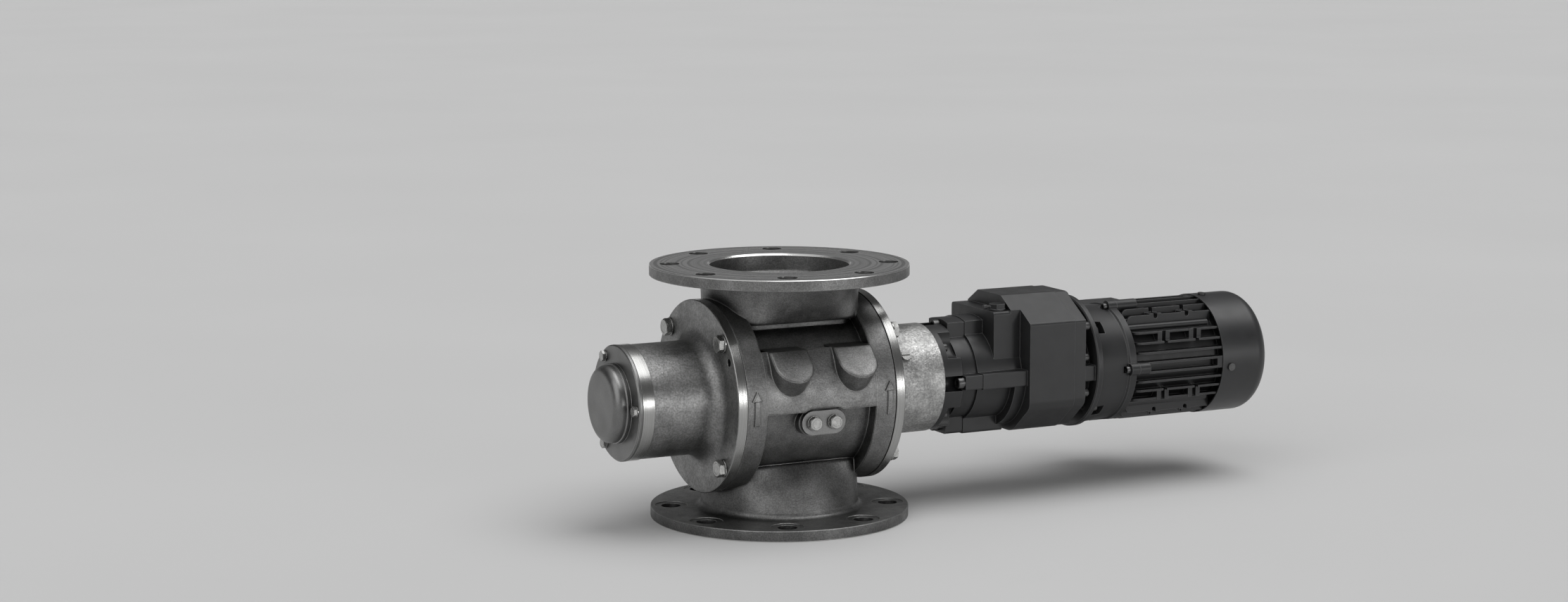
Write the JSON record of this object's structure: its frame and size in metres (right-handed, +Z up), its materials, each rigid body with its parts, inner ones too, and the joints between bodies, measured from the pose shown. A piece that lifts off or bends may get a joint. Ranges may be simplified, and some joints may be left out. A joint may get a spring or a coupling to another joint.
{
  "type": "rotary airlock valve",
  "caption": "Round-flanged rotary airlock valve with a vaned rotor, outboard bearings and a coaxial geared motor on its shaft.",
  "frame": {"origin": "centre of the outlet flange's lower face", "axes": "+Z up towards the inlet flange, +X along the rotor axis towards the drive, -Y the front"},
  "size_m": [0.821, 0.285, 0.28],
  "materials": {
    "cast_stainless": "bead-blasted stainless casting",
    "machined_stainless": "fine-blasted machined stainless",
    "stainless_fasteners": "bright stainless",
    "rotor_steel": "machined stainless",
    "bearing_steel": "ground",
    "cage_brass": "machined",
    "seal_rubber": "moulded",
    "drive_paint": "matte graphite paint on cast aluminium",
    "cowl_paint": "satin graphite paint on sheet steel",
    "drive_fasteners": "dark zinc",
    "gear_steel": "ground gear steel",
    "lamination_steel": "laminated",
    "copper_winding": "enamelled copper",
    "fan_plastic": "moulded"
  },
  "bodies": {
    "housing": {"bearing_cap": "machined_stainless", "bearing_cap_screws": "stainless_fasteners", "body_casting": "cast_stainless", "cable_entry_plugs": "fan_plastic", "drain_plug": "drive_fasteners", "drive_end_cover": "cast_stainless", "end_cover_bolts": "stainless_fasteners", "fan_cowl": "cowl_paint", "fan_cowl_screws": "drive_fasteners", "free_end_cover": "cast_stainless", "gear_bearing_outer_rings": "bearing_steel", "gear_case": "drive_paint", "gear_cover": "drive_paint", "gear_cover_screws": "drive_fasteners", "lantern_plug": "machined_stainless", "lantern_screws": "drive_fasteners", "motor_adapter": "drive_paint", "motor_bearing_outer_rings": "bearing_steel", "motor_end_shield": "drive_paint", "motor_flange_screws": "drive_fasteners", "motor_shaft_seal": "seal_rubber", "motor_tie_screws": "drive_fasteners", "output_flange": "drive_paint", "output_flange_screws": "drive_fasteners", "output_shaft_seal": "seal_rubber", "port_bolts": "stainless_fasteners", "port_plate": "machined_stainless", "rotor_bearing_outer_rings": "bearing_steel", "shaft_seals": "seal_rubber", "stator_core": "lamination_steel", "stator_housing": "drive_paint", "stator_windings": "copper_winding", "terminal_box": "drive_paint", "terminal_box_lid": "drive_paint", "terminal_box_screws": "drive_fasteners", "vent_plug": "drive_fasteners"},
    "rotor": {"rotor_vanes": "rotor_steel", "rotor_shaft": "rotor_steel", "shaft_key": "bearing_steel", "retaining_ring": "bearing_steel", "rotor_bearing_inner_rings": "bearing_steel", "output_shaft": "gear_steel", "output_wheel": "gear_steel", "output_bearing_inner_rings": "bearing_steel"},
    "countershaft": {"countershaft": "gear_steel", "countershaft_wheel": "gear_steel", "countershaft_bearing_inner_rings": "bearing_steel"},
    "motor_rotor": {"motor_shaft": "gear_steel", "motor_pinion": "gear_steel", "motor_rotor": "lamination_steel", "motor_bearing_inner_rings": "bearing_steel", "fan": "fan_plastic"},
    "free_end_cage": {"free_end_balls": "bearing_steel", "free_end_ball_cage": "cage_brass"},
    "drive_end_cage": {"drive_end_balls": "bearing_steel", "drive_end_ball_cage": "cage_brass"}
  },
  "joints": [
    {"name": "rotor_spin", "type": "hinge", "parent": "housing", "child": "rotor", "pos_m": [0, 0, 0.14], "axis": [1, 0, 0], "continuous": true},
    {"name": "countershaft_spin", "type": "hinge", "parent": "housing", "child": "countershaft", "pos_m": [0, 0, 0.185], "axis": [1, 0, 0], "continuous": true},
    {"name": "motor_spin", "type": "hinge", "parent": "housing", "child": "motor_rotor", "pos_m": [0, 0, 0.14], "axis": [1, 0, 0], "continuous": true},
    {"name": "free_cage_spin", "type": "hinge", "parent": "housing", "child": "free_end_cage", "pos_m": [0, 0, 0.14], "axis": [1, 0, 0], "continuous": true},
    {"name": "drive_cage_spin", "type": "hinge", "parent": "housing", "child": "drive_end_cage", "pos_m": [0, 0, 0.14], "axis": [1, 0, 0], "continuous": true}
  ],
  "couplings": [
    {"joint": "countershaft_spin", "follows": "rotor_spin", "ratio": -4},
    {"joint": "motor_spin", "follows": "rotor_spin", "ratio": 16},
    {"joint": "free_cage_spin", "follows": "rotor_spin", "ratio": 0.4},
    {"joint": "drive_cage_spin", "follows": "rotor_spin", "ratio": 0.4}
  ]
}
